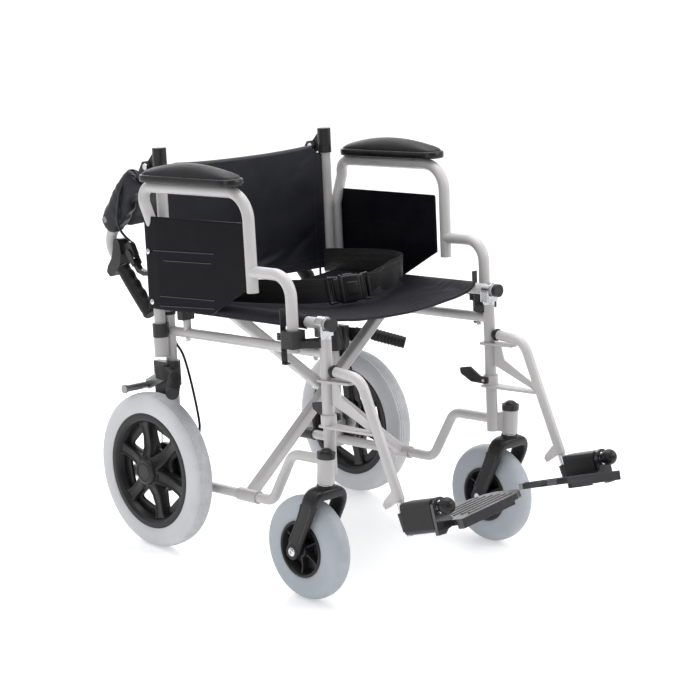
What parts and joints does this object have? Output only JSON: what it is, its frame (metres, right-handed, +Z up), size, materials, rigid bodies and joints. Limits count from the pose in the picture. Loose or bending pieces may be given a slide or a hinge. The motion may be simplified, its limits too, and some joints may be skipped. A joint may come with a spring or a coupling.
{
  "type": "manual transit wheelchair",
  "caption": "Folding attendant wheelchair with cross-brace frame, small rear wheels, castors, swing-away footrests, lift-off armrests, fold-down back and sling seat.",
  "frame": {"origin": "on the ground, midway between the wheels, under the rear axle", "axes": "+Z up, -Y forward towards the footrests, +X the user's left"},
  "size_m": [0.6644, 1.0135, 0.8011],
  "materials": {
    "frame_paint": "satin powder coat, warm light grey",
    "steel": "bright plated steel",
    "tyre_grey": "matt blue-grey polyurethane",
    "black_plastic": "moulded, fine grain",
    "black_rubber": "matt",
    "pad_vinyl": "smooth skinned foam, slight sheen",
    "panel_plastic": "moulded, pressed lines",
    "nylon": "coated nylon, slight sheen",
    "webbing": "woven webbing"
  },
  "bodies": {
    "right_frame": {"right_side_frame": "frame_paint", "right_frame_bolts": "steel", "right_back_hinge": "black_plastic", "right_frame_fittings": "black_plastic", "right_brake_plate": "steel", "right_brake_body": "black_plastic", "back_lower": "nylon", "lap_belt": "webbing", "belt_buckle": "black_plastic"},
    "right_castor": {"right_castor_fork": "black_plastic", "right_castor_axle": "steel"},
    "right_castor_wheel": {"right_castor_rim": "black_plastic", "right_castor_tyre": "tyre_grey"},
    "right_rear_wheel": {"right_rear_rim": "black_plastic", "right_rear_tyre": "tyre_grey"},
    "right_hanger": {"right_hanger_tube": "frame_paint", "right_footplate_housing": "black_plastic"},
    "right_hanger_latch": {"right_hanger_latch": "black_plastic"},
    "right_footplate": {"right_footplate": "black_plastic"},
    "right_arm_latch": {"right_arm_latch": "black_plastic"},
    "right_parking_lever": {"right_parking_lever": "black_plastic"},
    "right_brake_shoe": {"right_brake_shoe": "steel"},
    "right_hand_lever": {"right_hand_lever": "black_plastic"},
    "right_armrest": {"right_arm_tube": "frame_paint", "right_arm_pad": "pad_vinyl", "right_side_panel": "panel_plastic"},
    "right_push_handle": {"right_push_tube": "frame_paint", "right_push_grip": "black_rubber", "right_lever_housing": "black_plastic", "back_upper": "nylon"},
    "brace_a": {"brace_arm_a": "frame_paint", "brace_bolt": "steel"},
    "brace_b": {"brace_arm_b": "frame_paint", "seat_sling": "nylon"},
    "left_frame": {"left_side_frame": "frame_paint", "left_frame_bolts": "steel", "left_back_hinge": "black_plastic", "left_frame_fittings": "black_plastic", "left_brake_plate": "steel", "left_brake_body": "black_plastic"},
    "left_castor": {"left_castor_fork": "black_plastic", "left_castor_axle": "steel"},
    "left_castor_wheel": {"left_castor_rim": "black_plastic", "left_castor_tyre": "tyre_grey"},
    "left_rear_wheel": {"left_rear_rim": "black_plastic", "left_rear_tyre": "tyre_grey"},
    "left_hanger": {"left_hanger_tube": "frame_paint", "left_footplate_housing": "black_plastic"},
    "left_hanger_latch": {"left_hanger_latch": "black_plastic"},
    "left_footplate": {"left_footplate": "black_plastic"},
    "left_arm_latch": {"left_arm_latch": "black_plastic"},
    "left_parking_lever": {"left_parking_lever": "black_plastic"},
    "left_brake_shoe": {"left_brake_shoe": "steel"},
    "left_hand_lever": {"left_hand_lever": "black_plastic"},
    "left_armrest": {"left_arm_tube": "frame_paint", "left_arm_pad": "pad_vinyl", "left_side_panel": "panel_plastic"},
    "left_push_handle": {"left_push_tube": "frame_paint", "left_push_grip": "black_rubber", "left_lever_housing": "black_plastic"}
  },
  "joints": [
    {"name": "right_castor_swivel", "type": "hinge", "parent": "right_frame", "child": "right_castor", "pos_m": [-0.2553, -0.472, 0.262], "axis": [0, 0, 1], "continuous": true},
    {"name": "right_castor_spin", "type": "hinge", "parent": "right_castor", "child": "right_castor_wheel", "pos_m": [-0.2553, -0.4288, 0.1005], "axis": [1, 0, 0], "continuous": true},
    {"name": "right_wheel_spin", "type": "hinge", "parent": "right_frame", "child": "right_rear_wheel", "pos_m": [-0.2788, 0, 0.158], "axis": [1, 0, 0], "continuous": true},
    {"name": "right_hanger_swing", "type": "hinge", "parent": "right_frame", "child": "right_hanger", "pos_m": [-0.224, -0.44605, 0.34017], "axis": [0, -0.0872, -0.9962], "range_deg": [0, 90]},
    {"name": "right_hanger_release", "type": "hinge", "parent": "right_hanger", "child": "right_hanger_latch", "pos_m": [-0.204, -0.44518, 0.35013], "axis": [1, 0, 0], "range_deg": [0, 10]},
    {"name": "right_footplate_flip", "type": "hinge", "parent": "right_hanger", "child": "right_footplate", "pos_m": [-0.2255, -0.746, 0.254], "axis": [0, -0.9455, 0.3256], "range_deg": [0, 92.5]},
    {"name": "right_armrest_lift", "type": "slide", "parent": "right_frame", "child": "right_armrest", "axis": [0, 0.0872, 0.9962], "range_m": [0, 0.12]},
    {"name": "right_arm_release", "type": "hinge", "parent": "right_frame", "child": "right_arm_latch", "pos_m": [-0.263, -0.35986, 0.49926], "axis": [-1, 0, 0], "range_deg": [0, 18]},
    {"name": "right_parking_brake", "type": "hinge", "parent": "right_frame", "child": "right_parking_lever", "pos_m": [-0.25, 0.008, 0.352], "axis": [-1, 0, 0], "range_deg": [0, 35]},
    {"name": "right_brake_shoe_swing", "type": "hinge", "parent": "right_frame", "child": "right_brake_shoe", "pos_m": [-0.2548, 0.008, 0.352], "axis": [-1, 0, 0], "range_deg": [0, 4.3]},
    {"name": "right_back_fold", "type": "hinge", "parent": "right_frame", "child": "right_push_handle", "pos_m": [-0.224, 0.08397, 0.75897], "axis": [1, 0, 0], "range_deg": [0, 146]},
    {"name": "right_hand_brake", "type": "hinge", "parent": "right_push_handle", "child": "right_hand_lever", "pos_m": [-0.224, 0.14572, 0.57465], "axis": [1, 0, 0], "range_deg": [0, 12]},
    {"name": "frame_fold", "type": "hinge", "parent": "right_frame", "child": "brace_a", "pos_m": [-0.224, -0.22222, 0.14492], "axis": [0, -0.9962, 0.0872], "range_deg": [0, 28], "deforming": ["seat_sling", "back_lower", "back_upper", "lap_belt", "belt_buckle"]},
    {"name": "brace_cross", "type": "hinge", "parent": "brace_a", "child": "brace_b", "pos_m": [0, -0.1945, 0.32407], "axis": [0, -0.9962, 0.0872], "range_deg": [-56.5, 0]},
    {"name": "left_frame_hinge", "type": "hinge", "parent": "brace_b", "child": "left_frame", "pos_m": [0.224, -0.19831, 0.14283], "axis": [0, -0.9962, 0.0872], "range_deg": [0, 28.5]},
    {"name": "left_castor_swivel", "type": "hinge", "parent": "left_frame", "child": "left_castor", "pos_m": [0.2553, -0.472, 0.262], "axis": [0, 0, 1], "continuous": true},
    {"name": "left_castor_spin", "type": "hinge", "parent": "left_castor", "child": "left_castor_wheel", "pos_m": [0.2553, -0.4288, 0.1005], "axis": [1, 0, 0], "continuous": true},
    {"name": "left_wheel_spin", "type": "hinge", "parent": "left_frame", "child": "left_rear_wheel", "pos_m": [0.2788, 0, 0.158], "axis": [1, 0, 0], "continuous": true},
    {"name": "left_hanger_swing", "type": "hinge", "parent": "left_frame", "child": "left_hanger", "pos_m": [0.224, -0.44605, 0.34017], "axis": [0, 0.0872, 0.9962], "range_deg": [0, 90]},
    {"name": "left_hanger_release", "type": "hinge", "parent": "left_hanger", "child": "left_hanger_latch", "pos_m": [0.204, -0.44518, 0.35013], "axis": [1, 0, 0], "range_deg": [0, 10]},
    {"name": "left_footplate_flip", "type": "hinge", "parent": "left_hanger", "child": "left_footplate", "pos_m": [0.2255, -0.746, 0.254], "axis": [0, 0.9455, -0.3256], "range_deg": [0, 92.5]},
    {"name": "left_armrest_lift", "type": "slide", "parent": "left_frame", "child": "left_armrest", "axis": [0, 0.0872, 0.9962], "range_m": [0, 0.12]},
    {"name": "left_arm_release", "type": "hinge", "parent": "left_frame", "child": "left_arm_latch", "pos_m": [0.263, -0.35986, 0.49926], "axis": [-1, 0, 0], "range_deg": [0, 18]},
    {"name": "left_parking_brake", "type": "hinge", "parent": "left_frame", "child": "left_parking_lever", "pos_m": [0.25, 0.008, 0.352], "axis": [-1, 0, 0], "range_deg": [0, 35]},
    {"name": "left_brake_shoe_swing", "type": "hinge", "parent": "left_frame", "child": "left_brake_shoe", "pos_m": [0.2548, 0.008, 0.352], "axis": [-1, 0, 0], "range_deg": [0, 4.3]},
    {"name": "left_back_fold", "type": "hinge", "parent": "left_frame", "child": "left_push_handle", "pos_m": [0.224, 0.08397, 0.75897], "axis": [1, 0, 0], "range_deg": [0, 146]},
    {"name": "left_hand_brake", "type": "hinge", "parent": "left_push_handle", "child": "left_hand_lever", "pos_m": [0.224, 0.14572, 0.57465], "axis": [1, 0, 0], "range_deg": [0, 12]}
  ],
  "couplings": [
    {"joint": "right_brake_shoe_swing", "follows": "right_parking_brake", "ratio": 0.12},
    {"joint": "right_footplate_flip", "follows": "frame_fold", "ratio": 3.28},
    {"joint": "brace_cross", "follows": "frame_fold", "ratio": -2},
    {"joint": "left_frame_hinge", "follows": "frame_fold", "ratio": 1},
    {"joint": "left_brake_shoe_swing", "follows": "left_parking_brake", "ratio": 0.12},
    {"joint": "left_footplate_flip", "follows": "frame_fold", "ratio": 3.28},
    {"joint": "left_back_fold", "follows": "right_back_fold", "ratio": 1}
  ]
}
